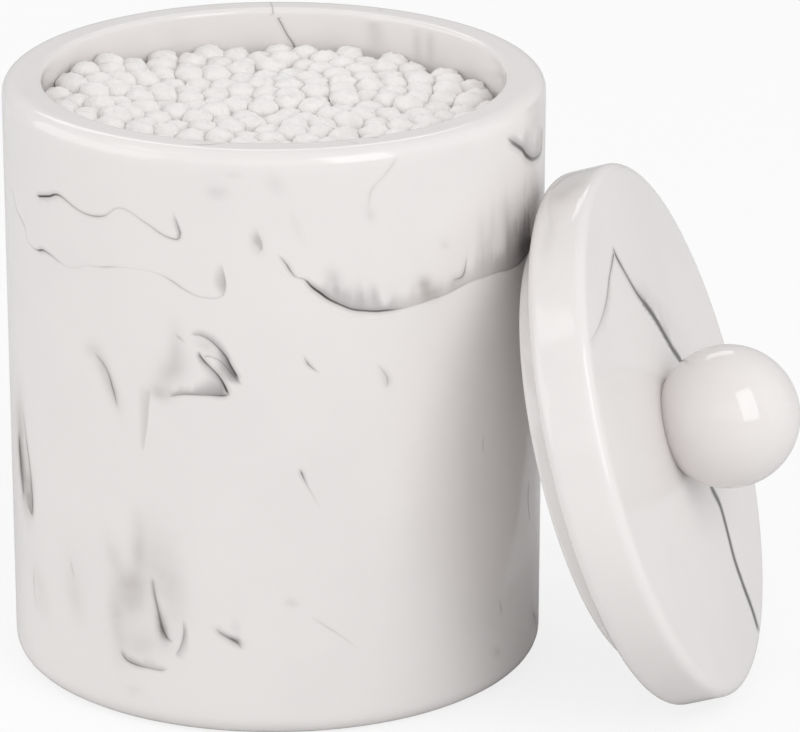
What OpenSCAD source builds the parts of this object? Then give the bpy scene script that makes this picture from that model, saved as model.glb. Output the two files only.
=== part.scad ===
// Cotton swab holder: a cast jar full of upright cotton swabs, with its lid
// taken off and leaning against the side of the jar.
// The origin is the middle of the jar's base, +Z is up, and -Y is the front.

/* [Jar] */
// Outer diameter of the jar at its rim
jar_d = 82; // [70:1:100]
// Thickness of the jar's wall
jar_wall = 6; // [4:0.1:9]
// Thickness of the jar's floor
jar_floor = 9.6; // [5:0.1:14]
// How much the foot of the jar is smaller than its rim, on the radius
jar_draft = 0.5; // [0:0.1:2]
// Room between the swabs' lowest ends and the rim
head_room = 5.8; // [5.5:0.1:14]
// Radius of the rounded outer edge of the rim
rim_round = 2.4; // [0.8:0.1:3]
// Radius of the rounded inner edge of the rim
mouth_round = 0.8; // [0.5:0.1:2]
// Radius of the rounded edge of the foot
foot_round = 3; // [0.8:0.1:4]
// Radius of the corner between the inner wall and the floor
cavity_round = 2; // [1:0.5:3]

/* [Lid] */
// How far the lid reaches past the jar, on the radius
lid_overhang = 0; // [-1:0.1:2]
// Thickness of the lid's disc
lid_t = 9.2; // [8:0.1:14]
// Radius of the rounded edge of the lid's top face
lid_shoulder = 1.5; // [1:0.1:4]
// Radius of the rounded edge of the lid's underside
lid_edge = 2; // [0.5:0.1:2.5]
// Height of the plug that drops into the jar's mouth
plug_h = 3.7; // [2:0.1:4]
// Clearance between the plug and the mouth, on the radius
plug_clear = 1.3; // [0.3:0.1:2]
// Radius of the plug's rounded edge
plug_round = 0.8; // [0.3:0.1:1.5]

/* [Knob] */
// Diameter of the ball
knob_d = 21.7; // [16:0.1:28]
// Height of the ball's centre above the lid's top face
knob_rise = 8.1; // [5:0.1:10]
// Diameter of the peg that is glued into the lid
peg_d = 6; // [4:0.5:8]
// Length of the peg
peg_len = 5; // [3:0.5:6]
// Clearance round the peg, on the radius
peg_clear = 0.1; // [0.05:0.05:0.2]

/* [Leaning lid] */
// Direction in which the lid stands from the jar, in degrees from +X
lean_from = -14.4; // [-90:0.1:90]
// How far the lid leans back, in degrees
lean_tilt = 17.3; // [12:0.1:30]
// How far the lid stands to one side of the point that it leans on
lean_side = -4.25; // [-12:0.25:12]
// Gap between the lid and the jar's wall where it leans
lean_gap = 0.3; // [0.1:0.05:0.6]

/* [Swabs] */
// Length of a swab
swab_len = 76; // [60:1:80]
// Diameter of the paper stick
stick_d = 2.3; // [2:0.1:2.8]
// Diameter of the cotton tip
tip_d = 4; // [3.8:0.1:5]
// Length of the cotton tip
tip_len = 14; // [9:0.5:18]
// Cotton past the end of the stick
tip_cap = 2.4; // [1.5:0.1:3.5]
// Thickness of the cotton where the tip ends on the stick
neck_wrap = 0.35; // [0.2:0.05:0.5]
// Clearance between the stick and the cotton, on the radius
stick_clear = 0.03; // [0.02:0.01:0.06]
// Most that a swab stands above the others
swab_lift = 1.2; // [0:0.1:2]
// Clearance between the outer swabs and the jar's wall
swab_gap = 0.15; // [0.1:0.05:0.6]
// Spare room between neighbouring tips, as the bundle is spread
swab_spread = 0.3; // [0.3:0.05:0.6]
// Share of the mouth that the bundle fills
swab_fill = 0.79; // [0.6:0.01:0.79]
// Turn of the bundle from its foot to its top, in degrees
swab_twist = 6; // [0:1:10]

/* [Hidden] */
$fn = 64;

resin = "ghostwhite";
paper = "white";
cotton = "snow";

jar_r = jar_d / 2;
jar_h = jar_floor + swab_len + head_room;
cavity_r = jar_r - jar_wall;
draft_angle = atan(jar_draft / jar_h);
rim_bend = min(rim_round, 0.6 * jar_wall);
mouth_bend = min(mouth_round, 0.3 * jar_wall);

lid_r = jar_r + lid_overhang;
plug_r = cavity_r - plug_clear;
knob_r = knob_d / 2;
knob_seat_r = sqrt(knob_r * knob_r - knob_rise * knob_rise);
peg_r = min(peg_d / 2, knob_seat_r - 1);
socket_r = peg_r + peg_clear;

// Radius of the jar's outer wall at a height
function wall_r(z) = jar_r - jar_draft * (1 - z / jar_h);

// The lid stands on its lowest edge, and the upper edge of its plug leans on
// the jar. Seen from above, that edge is a curve that bends away from the jar.
lean_z = (lid_r - lid_edge) * cos(lean_tilt) + lid_edge - lid_edge * sin(lean_tilt);
touch_z = lean_z + plug_r * cos(lean_tilt) - plug_h * sin(lean_tilt);
touch_bend_r = plug_r / sin(lean_tilt);
touch_r = sqrt(pow(wall_r(touch_z) + lean_gap + touch_bend_r, 2) - pow(lean_side, 2)) - touch_bend_r;
lean_reach = (plug_r - plug_round) * sin(lean_tilt) + (plug_h - plug_round) * cos(lean_tilt) + plug_round;

// Each swab has a place in the bundle. The places start as a sunflower spread
// and neighbours that stand too close push each other apart.
tip_r = tip_d / 2;
bundle_r = cavity_r - swab_gap - tip_r;
pitch = tip_d + swab_spread;
swab_count = floor(swab_fill * pow(bundle_r / (pitch / 2) + 1, 2));
golden_angle = 180 * (3 - sqrt(5));
settle_steps = 60;
push_share = 0.4;
lift_seed = 5;

start_places = [for (i = [0 : swab_count - 1])
    let (r = bundle_r * sqrt((i + 0.5) / swab_count), a = golden_angle * i)
    [r * cos(a), r * sin(a)]];

function total(v, i = 0, s = [0, 0]) = i == len(v) ? s : total(v, i + 1, s + v[i]);

function kept_inside(p) = norm(p) > bundle_r ? p * bundle_r / norm(p) : p;

function pushes(p, all) = [for (q = all)
    let (d = p - q)
    if (abs(d.x) < pitch && abs(d.y) < pitch)
    let (gap = norm(d))
    if (gap > 0 && gap < pitch) d / gap * (pitch - gap)];

function settled(all, steps) = steps == 0 ? all
    : settled([for (p = all) kept_inside(p + push_share * total(pushes(p, all)))], steps - 1);

places = settled(start_places, settle_steps);
lifts = rands(0, swab_lift, swab_count, lift_seed);

stick_r = stick_d / 2;
neck_r = stick_r + neck_wrap;
stick_len = swab_len - 2 * tip_cap;
belly_len = tip_len - tip_r;
belly_straight = 0.4 * belly_len;
belly_run = belly_len - belly_straight;
belly_narrows = tip_r - neck_r;
belly_bend_r = (pow(belly_run, 2) + pow(belly_narrows, 2)) / (2 * belly_narrows);

// Outline of the jar's outside, with the foot and the rim rounded
module jar_outline() {
    rim_x = wall_r(jar_h - rim_bend) - rim_bend / cos(draft_angle);
    foot_x = wall_r(foot_round) - foot_round / cos(draft_angle);
    polygon([
        [0, 0],
        [foot_x, 0],
        [foot_x + foot_round * cos(draft_angle), foot_round - foot_round * sin(draft_angle)],
        [rim_x + rim_bend * cos(draft_angle), jar_h - rim_bend - rim_bend * sin(draft_angle)],
        [rim_x, jar_h],
        [0, jar_h]
    ]);
    translate([foot_x, foot_round]) circle(foot_round);
    translate([rim_x, jar_h - rim_bend]) circle(rim_bend);
}

// Outline of the hollow, with its lower corner rounded
module cavity_outline() {
    translate([0, jar_floor]) square([cavity_r - cavity_round, jar_h]);
    translate([0, jar_floor + cavity_round]) square([cavity_r, jar_h]);
    translate([cavity_r - cavity_round, jar_floor + cavity_round]) circle(cavity_round);
}

// What the rounding takes from the inner edge of the rim
module mouth_rounding() {
    difference() {
        translate([cavity_r - 1, jar_h - mouth_bend]) square([mouth_bend + 1, mouth_bend + 1]);
        translate([cavity_r + mouth_bend, jar_h - mouth_bend]) circle(mouth_bend);
    }
}

module jar() {
    color(resin) rotate_extrude() difference() {
        jar_outline();
        cavity_outline();
        mouth_rounding();
    }
}

// Half of a disc's outline: radius, lower and upper height, and the radius of
// its lower and upper edge
module disc_outline(r, low, high, low_round, high_round) {
    polygon([
        [0, low],
        [r - low_round, low],
        [r, low + low_round],
        [r, high - high_round],
        [r - high_round, high],
        [0, high]
    ]);
    translate([r - low_round, low + low_round]) circle(low_round);
    translate([r - high_round, high - high_round]) circle(high_round);
}

// Puts a piece that is drawn about the lid's axis where the lid leans
module leaning() {
    rotate([0, 0, lean_from])
        translate([touch_r + lean_reach, lean_side, lean_z])
        rotate([0, 90 - lean_tilt, 0])
        children();
}

module lid() {
    color(resin) leaning() rotate_extrude() difference() {
        union() {
            disc_outline(lid_r, 0, lid_t, lid_edge, lid_shoulder);
            disc_outline(plug_r, -plug_h, lid_edge, plug_round, lid_edge / 2);
        }
        translate([0, lid_t - peg_len]) square([socket_r, peg_len + 1]);
    }
}

module knob() {
    color(resin) leaning() translate([0, 0, lid_t]) rotate_extrude() {
        intersection() {
            translate([0, knob_rise]) circle(knob_r);
            square([knob_r, knob_rise + knob_r]);
        }
        translate([0, -peg_len]) square([peg_r, peg_len + 1]);
    }
}

// Stands a piece on each swab's foot, turned the way that the swab leans
module each_swab() {
    for (i = [0 : swab_count - 1]) {
        top = places[i];
        foot = [top.x * cos(swab_twist) + top.y * sin(swab_twist),
                top.y * cos(swab_twist) - top.x * sin(swab_twist)];
        run = top - foot;
        lean = asin(norm(run) / swab_len);
        // The rounded end of a swab that leans stands on its lowest point
        translate([foot.x, foot.y, jar_floor + lifts[i] + tip_r])
            rotate([0, lean, atan2(run.y, run.x)])
            translate([0, 0, -tip_r])
            children();
    }
}

// Half of a cotton tip's section: a round end, a belly that runs straight and
// then narrows to the stick, and the bore for the stick. The end is at the origin and the stick
// comes in along +Y.
module tip_section() {
    difference() {
        union() {
            intersection() {
                translate([0, tip_r]) circle(tip_r);
                square([tip_r, tip_r]);
            }
            translate([0, tip_r]) square([tip_r, belly_straight]);
            translate([0, tip_r + belly_straight]) intersection() {
                translate([tip_r - belly_bend_r, 0]) circle(belly_bend_r, $fn = 256);
                square([tip_r, belly_run]);
            }
        }
        translate([0, tip_cap]) square([stick_r + stick_clear, tip_len]);
    }
}

module swab_sticks() {
    color(paper) each_swab() translate([0, 0, tip_cap]) cylinder(h = stick_len, r = stick_r, $fn = 24);
}

module cotton_tips_upper() {
    color(cotton) each_swab()
        translate([0, 0, swab_len]) mirror([0, 0, 1]) rotate_extrude($fn = 24) tip_section();
}

module cotton_tips_lower() {
    color(cotton) each_swab() rotate_extrude($fn = 24) tip_section();
}

jar();
lid();
knob();
swab_sticks();
cotton_tips_upper();
cotton_tips_lower();
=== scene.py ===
import logging
import math
from dataclasses import dataclass, field
from enum import Enum
from typing import Callable, Iterable, Sequence

import bmesh
import bpy
import numpy as np
from mathutils import Matrix, Vector


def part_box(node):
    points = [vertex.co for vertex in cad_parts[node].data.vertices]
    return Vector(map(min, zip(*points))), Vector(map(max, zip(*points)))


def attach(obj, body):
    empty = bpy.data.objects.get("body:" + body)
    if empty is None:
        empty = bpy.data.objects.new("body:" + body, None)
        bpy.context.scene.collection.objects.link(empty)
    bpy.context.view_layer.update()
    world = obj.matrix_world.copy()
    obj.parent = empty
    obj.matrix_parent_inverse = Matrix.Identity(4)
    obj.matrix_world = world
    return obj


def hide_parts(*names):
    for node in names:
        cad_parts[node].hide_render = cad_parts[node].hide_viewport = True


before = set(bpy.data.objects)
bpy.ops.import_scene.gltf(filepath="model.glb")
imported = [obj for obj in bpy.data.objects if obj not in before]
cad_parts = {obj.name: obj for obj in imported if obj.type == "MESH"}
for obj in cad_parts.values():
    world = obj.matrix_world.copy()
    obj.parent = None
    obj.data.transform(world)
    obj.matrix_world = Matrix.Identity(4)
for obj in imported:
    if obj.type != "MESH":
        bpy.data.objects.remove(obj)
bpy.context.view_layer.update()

ROOT = "root"
MM = 0.001
THIN_VEIN = 0.05
THICKER_VEIN = 0.13
VEIN_LAYERS = 3
VEIL_LAYERS = 5
RING_SLACK = 0.2 * MM
ROUNDED = 0.8
FLAT_FACE = 0.9
log = logging.getLogger("swab_holder")

Mark = tuple[float, float, float]
Point = tuple[float, float]
Colour = tuple[float, float, float, float]
Test = Callable[[Vector, Vector], bool]


class Zone(Enum):
    """The surfaces that ink can lie on."""

    OUTER_WALL = "outer_wall"
    INNER_WALL = "inner_wall"
    RIM = "rim"
    LID_FACE = "lid_face"
    LID_SIDE = "lid_side"


@dataclass(frozen=True)
class Photo:
    """The camera that sees the object as the photograph does, in metres and radians."""

    width_px: int = 800
    height_px: int = 732
    focal_px: float = 6000.0
    distance: float = 0.86652
    height: float = 0.34952
    pitch: float = 0.3384
    yaw: float = 0.0219
    sensor_mm: float = 36.0

    def axes(self) -> tuple[Vector, Vector, Vector]:
        """The camera's right, up and forward directions.

        Returns:
            Three unit vectors in the object's frame.
        """
        level = math.cos(self.pitch)
        forward = Vector((math.sin(self.yaw) * level, math.cos(self.yaw) * level, -math.sin(self.pitch)))
        right = Vector((math.cos(self.yaw), -math.sin(self.yaw), 0.0))
        return right, right.cross(forward), forward

    def place(self) -> None:
        """Adds the camera and makes it the scene's own."""
        right, up, forward = self.axes()
        turn = Matrix((right, up, -forward)).transposed().to_4x4()
        bpy.ops.object.camera_add()
        camera = bpy.context.object
        camera.name = "photo_camera"
        camera.matrix_world = Matrix.Translation((0.0, -self.distance, self.height)) @ turn
        camera.data.sensor_width = self.sensor_mm
        camera.data.lens = self.focal_px * self.sensor_mm / self.width_px
        camera.data.clip_start = 0.01
        bpy.context.scene.camera = camera

    def ray(self, x: float, y: float) -> tuple[Vector, Vector]:
        """The line of sight through a point of the photograph.

        Args:
            x: pixels from the left.
            y: pixels from the top.

        Returns:
            Its start and its direction.
        """
        right, up, forward = self.axes()
        across = (x - self.width_px / 2) / self.focal_px
        down = (y - self.height_px / 2) / self.focal_px
        return Vector((0.0, -self.distance, self.height)), forward + right * across - up * down


@dataclass(frozen=True)
class Stroke:
    """A vein of ink, as marks along it: x and y in the photograph and how dark it is there."""

    marks: tuple[Mark, ...]
    breadth: float = 1.0


@dataclass(frozen=True)
class Veil:
    """A wash that ends crisply on a line and fades to its left: x, y, darkness and reach in pixels."""

    marks: tuple[tuple[float, float, float, float], ...]


@dataclass(frozen=True)
class Cloud:
    """A soft patch of ink, or partly of painted shade where it lies beside the lid: its middle and half sizes
    in the photograph's pixels, and its turn.
    """

    x: float
    y: float
    half_length: float
    half_width: float
    turn_deg: float
    strength: float
    streaked: bool = False


@dataclass
class Trace:
    """A stroke or veil laid on a surface: places in metres along it, its darkness and its width in mm."""

    path: np.ndarray
    ink: np.ndarray
    width: np.ndarray
    layer: int = 0


@dataclass
class Patch:
    """A cloud laid on a surface: its middle, its two half axes in metres and its strength."""

    middle: np.ndarray
    long_axis: np.ndarray
    short_axis: np.ndarray
    strength: float
    streaked: bool


OUTER_STROKES: tuple[Stroke, ...] = (
    Stroke(((36.5, 195.5, 0.8), (41, 196.3, 1.0), (49, 196.2, 1.0), (54.8, 194.6, 0.9), (59.4, 195.5, 0.7),
            (64.6, 199, 0.55), (74, 207, 0.45), (82.7, 212.5, 0.45), (91.3, 215.6, 0.5),
            (98.2, 216.5, 0.55), (105, 215.6, 0.4), (110, 212.2, 0.25), (116.2, 208.2, 0.25),
            (124, 208.7, 0.25), (132.6, 213.6, 0.25), (141.2, 220, 0.3), (151.5, 226.8, 0.35),
            (160, 233.2, 0.4), (168.8, 237.5, 0.45), (175.6, 239.4, 0.5), (179, 238.5, 0.5),
            (180.8, 234.6, 0.5), (179, 227.7, 0.4), (175.6, 220, 0.2), (172.2, 212.2, 0.05))),
    Stroke(((9.5, 185.5, 0.1), (13.8, 195.8, 0.25), (16.4, 208.7, 0.3), (20.7, 218, 0.35), (24, 225, 0.35),
            (25.8, 232, 0.2), (27.6, 240.6, 0.15), (32.7, 247.5, 0.25), (37, 250.2, 0.5),
            (40.5, 250.4, 0.9), (43.9, 250.6, 0.7), (51.7, 255.6, 0.45), (58.5, 261.3, 0.3),
            (63.7, 264.7, 0.12), (72, 268, 0.1), (86, 265.6, 0.1), (96, 266.4, 0.15), (106.8, 267, 0.3),
            (117, 267, 0.15), (134, 268.7, 0.08), (151.5, 271.6, 0.08), (163.6, 276, 0.2), (172, 281, 0.35),
            (179, 286, 0.35), (186, 290.5, 0.3), (194.6, 294.9, 0.22), (203, 297.4, 0.2),
            (213.5, 298.3, 0.2), (220.4, 297, 0.2), (224.2, 294, 0.2), (225.6, 287, 0.2),
            (224.7, 278.5, 0.2), (222, 268, 0.1), (220, 257.8, 0.03))),
    Stroke(((191, 334.5, 0.15), (199.8, 335.3, 0.35), (206.6, 338, 0.5), (213.5, 343, 0.6),
            (220.4, 350, 0.7), (225.6, 356, 0.8), (229, 362, 0.85), (232.5, 369, 0.9), (236, 375, 0.95),
            (239.4, 381.5, 0.9))),
    Stroke(((199, 352.5, 0.3), (200.6, 356.8, 0.8), (204, 361, 0.8), (209.2, 366.3, 0.7),
            (215.3, 372.3, 0.75), (220.4, 378.4, 0.85), (224.7, 386, 0.95), (227.3, 392, 1.0),
            (228.2, 394.4, 0.9))),
    Stroke(((203, 358, 0.5), (206.6, 356, 0.4), (213.5, 357.7, 0.3), (220.4, 361, 0.35), (227, 368, 0.4),
            (233, 375, 0.5), (238.5, 382, 0.6)), 0.8),
    Stroke(((228.2, 394.7, 1.0), (222, 395.6, 0.8), (211.8, 395.2, 0.6), (201.5, 395, 0.5),
            (189.4, 394.6, 0.45), (180.8, 394.6, 0.45), (174, 395.6, 0.4), (169.6, 397.3, 0.2))),
    Stroke(((176.5, 334.5, 0.15), (179, 337.5, 0.4), (183, 341.3, 0.2)), 1.2),
    Stroke(((93.9, 352.5, 0.1), (99, 357.7, 0.35), (105, 366.3, 0.45), (109.4, 376.6, 0.55),
            (112, 385.3, 0.6), (114.5, 393.9, 0.55), (116.2, 402.5, 0.35), (118, 409.4, 0.1)), 1.2),
    Stroke(((19, 434, 0.7), (20, 451, 1.0), (21.2, 467.8, 0.9), (22.9, 484.7, 0.7), (23.7, 497.4, 0.5)), 3),
    Stroke(((23.3, 412.7, 0.2), (26.5, 440, 0.45), (29.6, 463.5, 0.4), (31.8, 484.7, 0.4),
            (32.8, 505.9, 0.6), (31.8, 514.4, 0.5), (27, 501, 0.3)), 1.8),
    Stroke(((33.9, 570, 0.1), (33.9, 582, 0.35), (35, 596, 0.2), (38, 612, 0.1))),
    Stroke(((70, 556, 0.05), (72, 568, 0.2), (74, 580, 0.1)), 1.5),
    Stroke(((152.5, 578, 0.3), (155, 596, 0.45), (158, 610, 0.5), (161, 624.5, 0.5), (165, 634, 0.5),
            (169.4, 641.4, 0.3)), 1.5),
    Stroke(((183, 622, 0.2), (184, 633, 0.5), (181, 645.7, 0.4), (175.8, 655, 0.3)), 1.0),
    Stroke(((121, 650, 0.3), (125, 658.5, 0.55), (135.5, 664.7, 0.6), (148.2, 668, 0.4), (161, 670.5, 0.35),
            (167.3, 669, 0.2)), 1.2),
    Stroke(((215, 627.7, 0.4), (222.4, 634.5, 0.45), (230.8, 639.3, 0.6), (237.2, 642.5, 0.75),
            (240.4, 646.7, 0.4)), 1.5),
    Stroke(((279.7, 256.3, 0.3), (286.3, 263.9, 0.6), (291, 271.6, 0.6), (295.9, 277.3, 0.35),
            (302.6, 278.5, 0.3), (307.4, 282, 0.8), (313, 287.8, 0.95), (320.8, 293.6, 1.0),
            (327.5, 298.4, 0.95), (336, 302.8, 0.85), (345.7, 307, 0.8), (354.3, 309.8, 0.85),
            (364.8, 310.8, 0.8), (376.3, 311.2, 0.85), (387.7, 310.4, 0.8), (396.4, 309.3, 0.5),
            (406.9, 307.5, 0.3), (418.4, 304, 0.25), (431.7, 299.3, 0.25), (445, 294.5, 0.3),
            (456.6, 288.8, 0.3), (470, 282, 0.25), (483.4, 277.3, 0.25), (496.8, 272.5, 0.3),
            (508.3, 269.7, 0.4), (517.8, 264.9, 0.5), (525.5, 256.3, 0.6), (531, 248.6, 0.7))),
    Stroke(((467, 254.4, 0.2), (465.2, 267.7, 0.5), (462.4, 276.4, 0.6), (453, 280.5, 0.3))),
    Stroke(((507.3, 137.7, 0.2), (512, 142.4, 0.7), (517.8, 146.3, 0.85), (522.6, 150, 0.9),
            (525.5, 154.9, 0.95), (530.3, 158.7, 0.9), (534, 159, 0.8), (538, 156.8, 0.7), (541, 152, 0.6),
            (542.5, 142, 0.4)), 2),
    Stroke(((397, 157, 0.1), (390.6, 167.3, 0.14), (383.9, 175.9, 0.1), (376.3, 183.6, 0.1),
            (370.5, 193, 0.14), (368.6, 206.5, 0.06)), 2.6),
    Stroke(((304, 357, 0.4), (309, 365, 0.6), (319, 373, 0.2))),
    Stroke(((378, 364, 0.12), (388, 379, 0.3), (385, 389, 0.12)), 2),
    Stroke(((300, 468, 0.5), (302, 474, 0.7), (308, 487, 0.25), (319, 506, 0.08))),
    Stroke(((311, 617, 0.08), (327, 627, 0.2), (340, 635, 0.15), (358, 648, 0.05)), 1.2),
    Stroke(((484, 436, 0.15), (483, 446, 0.25), (484, 454, 0.1))),
    Stroke(((529, 478, 0.3), (528, 500, 0.5), (530, 524, 0.3)), 1.2),
    Stroke(((500, 601, 0.2), (501, 609, 0.3), (502, 616, 0.1)), 1.2),
    Stroke(((533, 612, 0.4), (536, 622, 0.7), (537, 632, 0.3)), 1.4),
)

OUTER_VEILS: tuple[Veil, ...] = (
    # Beside the lid this veil widens and darkens: its right end is partly ink and partly painted shade of the
    # gap between jar and lid.
    Veil(((307, 282, 0.1, 6), (320, 293, 0.42, 14), (334, 302, 0.42, 26), (350, 308.5, 0.4, 22),
          (365, 310.8, 0.42, 24), (380, 311, 0.42, 22), (396, 309.3, 0.36, 20), (418, 304, 0.34, 24),
          (432, 299.3, 0.34, 26), (445, 294.5, 0.28, 18), (457, 288.8, 0.34, 28), (470, 282, 0.3, 36),
          (483, 277.3, 0.34, 46), (497, 272.5, 0.4, 54), (508, 269.7, 0.46, 60), (518, 264.9, 0.6, 66),
          (526, 256.3, 0.75, 74), (532, 247, 0.8, 78))),
    Veil(((507, 137.7, 0.1, 6), (513, 143, 0.35, 14), (520, 148.5, 0.42, 24), (526, 155.5, 0.45, 36),
          (532, 159, 0.45, 46), (538, 156.8, 0.45, 56), (542, 148, 0.45, 60), (543.5, 128, 0.4, 60))),
    Veil(((169, 397, 0.2, 8), (180, 394.6, 0.5, 13), (196, 394.6, 0.54, 18), (212, 395.2, 0.6, 22),
          (222, 395.6, 0.7, 24), (228, 394.6, 0.7, 20))),
    Veil(((190, 334.5, 0.15, 6), (200, 335.3, 0.35, 8), (207, 338, 0.38, 9), (214, 343, 0.38, 9),
          (221, 350, 0.34, 8), (226, 356, 0.26, 6), (230, 363, 0.1, 4))),
    Veil(((239, 381.5, 0.85, 9), (235, 373.5, 0.9, 13), (231, 366, 0.85, 16), (226, 357, 0.6, 13),
          (219, 349, 0.3, 9))),
    Veil(((183, 620, 0.1, 8), (184, 633, 0.32, 14), (181, 646, 0.32, 14), (175, 656, 0.24, 14))),
    Veil(((121, 649, 0.2, 10), (125, 658.5, 0.34, 12), (135.5, 664.7, 0.38, 14), (148, 668, 0.3, 14),
          (161, 670.5, 0.28, 12), (168, 669, 0.1, 10))),
    Veil(((171, 640, 0.4, 12), (166, 634, 0.6, 12), (162, 622, 0.5, 9), (159, 608, 0.36, 7),
          (155, 592, 0.3, 6), (152, 576, 0.1, 4))),
    Veil(((155, 600, 0.1, 8), (158, 614, 0.3, 11), (160, 628, 0.4, 14), (163, 639, 0.35, 14))),
    Veil(((228, 393, 0.62, 16), (224, 385, 0.5, 18), (216, 373.5, 0.34, 14), (208, 365, 0.3, 10),
          (201, 357, 0.4, 7), (199, 351, 0.3, 6))),
    Veil(((220, 633, 0.2, 6), (231, 639.3, 0.35, 9), (237, 642.5, 0.5, 13), (241, 646.7, 0.4, 16))),
    Veil(((31.5, 516, 0.55, 18), (33, 505, 0.55, 26), (32, 486, 0.4, 20), (30, 464, 0.3, 14),
          (27, 440, 0.22, 10))),
    Veil(((144, 449, 0.2, 8), (147.5, 425, 0.26, 12), (149, 405, 0.26, 14), (150.5, 388, 0.12, 14))),
    Veil(((223.5, 296, 0.15, 8), (225.8, 288, 0.46, 13), (225, 277, 0.42, 14), (222, 264, 0.1, 10))),
    Veil(((177, 239.5, 0.1, 5), (181, 234.6, 0.5, 7), (179.5, 227.7, 0.46, 8), (175, 214, 0.16, 7))),
    Veil(((259, 253, 0.1, 5), (262.5, 250, 0.44, 9), (262, 242, 0.36, 10), (257, 229, 0.14, 9))),
)

OUTER_CLOUDS: tuple[Cloud, ...] = (
    Cloud(216, 192, 11, 7, 0, 0.16),
    Cloud(233, 175, 9, 3, 0, 0.07),
    Cloud(257, 243, 11, 6, 80, 0.22),
    Cloud(176, 345, 24, 8, 85, 0.16),
    Cloud(171, 372, 22, 14, -60, 0.17),
    Cloud(160, 393, 13, 8, 20, 0.22),
    Cloud(205, 345, 14, 6, 30, 0.14),
    Cloud(92, 350, 10, 8, 60, 0.1),
    Cloud(108, 380, 28, 6, 70, 0.3),
    Cloud(20, 430, 42, 5, 88, 0.3),
    Cloud(22, 465, 34, 3, 87, 0.5),
    Cloud(28, 490, 28, 5, 87, 0.4),
    Cloud(40, 590, 30, 7, 80, 0.1),
    Cloud(74, 590, 34, 8, 80, 0.08),
    Cloud(138, 545, 28, 8, 88, 0.18),
    Cloud(114, 560, 24, 8, 75, 0.1),
    Cloud(130, 594, 24, 16, 88, 0.36),
    Cloud(162, 626, 18, 6, 78, 0.48),
    Cloud(235, 641, 8, 4, 30, 0.34),
    Cloud(221, 633, 9, 4, 35, 0.22),
    Cloud(160, 570, 44, 20, 80, 0.12),
    Cloud(174, 596, 40, 12, 85, 0.1),
    Cloud(117, 622, 40, 8, 85, 0.16),
    Cloud(140, 645, 26, 20, 30, 0.12),
    Cloud(134, 690, 8, 5, 0, 0.1),
    Cloud(236, 628, 9, 5, 80, 0.1),
    Cloud(276, 185, 14, 9, 50, 0.07),
    Cloud(296, 225, 18, 5, 70, 0.07),
    Cloud(334, 281, 12, 9, 70, 0.26, True),
    Cloud(343, 294, 12, 7, 60, 0.24, True),
    Cloud(359, 296, 14, 6, 85, 0.22, True),
    Cloud(376, 296, 11, 5, 75, 0.2, True),
    Cloud(391, 300, 12, 6, 85, 0.12, True),
    Cloud(424, 284, 8, 8, 0, 0.28, True),
    Cloud(431, 295, 12, 7, -20, 0.24, True),
    Cloud(450, 283, 12, 7, -30, 0.14, True),
    Cloud(482, 245, 30, 5, 88, 0.18, True),
    Cloud(494, 238, 34, 5, 88, 0.18, True),
    Cloud(505, 228, 40, 6, 88, 0.2, True),
    # The next two clouds, on the jar's right edge beside the lid, are partly ink and partly painted shade of
    # the gap between jar and lid.
    Cloud(527, 240, 34, 11, 80, 0.36),
    Cloud(537, 205, 34, 6, 85, 0.26),
    Cloud(537, 110, 40, 8, 88, 0.2),
    Cloud(370, 214, 8, 5, 80, 0.1),
    Cloud(385, 378, 10, 6, 60, 0.12),
    Cloud(291, 603, 7, 5, 0, 0.18),
    Cloud(444, 244, 5, 4, 0, 0.16),
    Cloud(497, 652, 5, 5, 0, 0.16),
    Cloud(536, 620, 18, 4, 88, 0.3),
)

INNER_STROKES: tuple[Stroke, ...] = (
    Stroke(((274, 11.5, 0.5), (278, 18.3, 0.6), (282, 25, 0.6), (286.5, 33.5, 0.6), (291.5, 41, 0.65),
            (296.5, 51, 0.75), (298, 56, 0.6)), 0.9),
)

INNER_CLOUDS: tuple[Cloud, ...] = (
    Cloud(375, 32, 26, 9, 84, 0.17),
    Cloud(417, 44, 22, 5, 88, 0.17),
    Cloud(430, 44, 22, 5, 88, 0.14),
)

RIM_STROKES: tuple[Stroke, ...] = (
    Stroke(((190, 144.2, 0.2), (200, 144.8, 0.5), (212, 144.4, 0.5), (223, 143, 0.2)), 0.7),
    Stroke(((345, 140.8, 0.15), (353, 142.6, 0.35), (361, 144.5, 0.15)), 0.7),
    Stroke(((369, 138.4, 0.3), (376.5, 137.6, 0.6), (380, 136.8, 0.2)), 0.7),
    Stroke(((376, 9.5, 0.15), (380, 10, 0.4), (384, 10.5, 0.15)), 1.3),
    Stroke(((270.5, 0.5, 0.25), (271.5, 5, 0.35), (273.6, 10, 0.4), (275.4, 12.6, 0.45), (279, 14.6, 0.5),
            (283, 16.6, 0.5)), 0.9),
)

LID_STROKES: tuple[Stroke, ...] = (
    Stroke(((588, 345, 0.05), (597, 330, 0.2), (603, 314, 0.4), (607, 298, 0.5), (609, 280, 0.6),
            (612, 264, 0.7), (614, 252, 0.9)), 1.4),
    Stroke(((613, 249, 0.8), (617, 258, 0.9), (623, 269, 0.8), (630.5, 282.5, 0.8), (638, 295, 0.9),
            (648, 308, 1.0), (656, 320, 1.0)), 2.4),
    Stroke(((641, 300, 0.8), (648, 308, 1.0), (656, 320, 1.0), (664, 334, 1.0), (672, 348, 1.0),
            (682, 364, 1.0), (693, 395, 1.0), (700, 440, 1.0), (710, 483, 1.0), (720, 505, 1.0),
            (728, 534, 1.0), (735, 561, 1.0), (745, 590, 1.0), (752, 609, 1.0), (759, 632, 0.9)), 3.7),
)

LID_VEILS: tuple[Veil, ...] = (
    Veil(((612, 252, 0.1, 5), (607, 290, 0.22, 12), (602, 318, 0.2, 14), (590, 342, 0.06, 10))),
    Veil(((630, 282, 0.1, 6), (648, 308, 0.32, 12), (664, 334, 0.36, 16), (682, 364, 0.3, 14))),
)

LID_CLOUDS: tuple[Cloud, ...] = (
    Cloud(655, 308, 34, 8, 55, 0.16),
)

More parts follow.
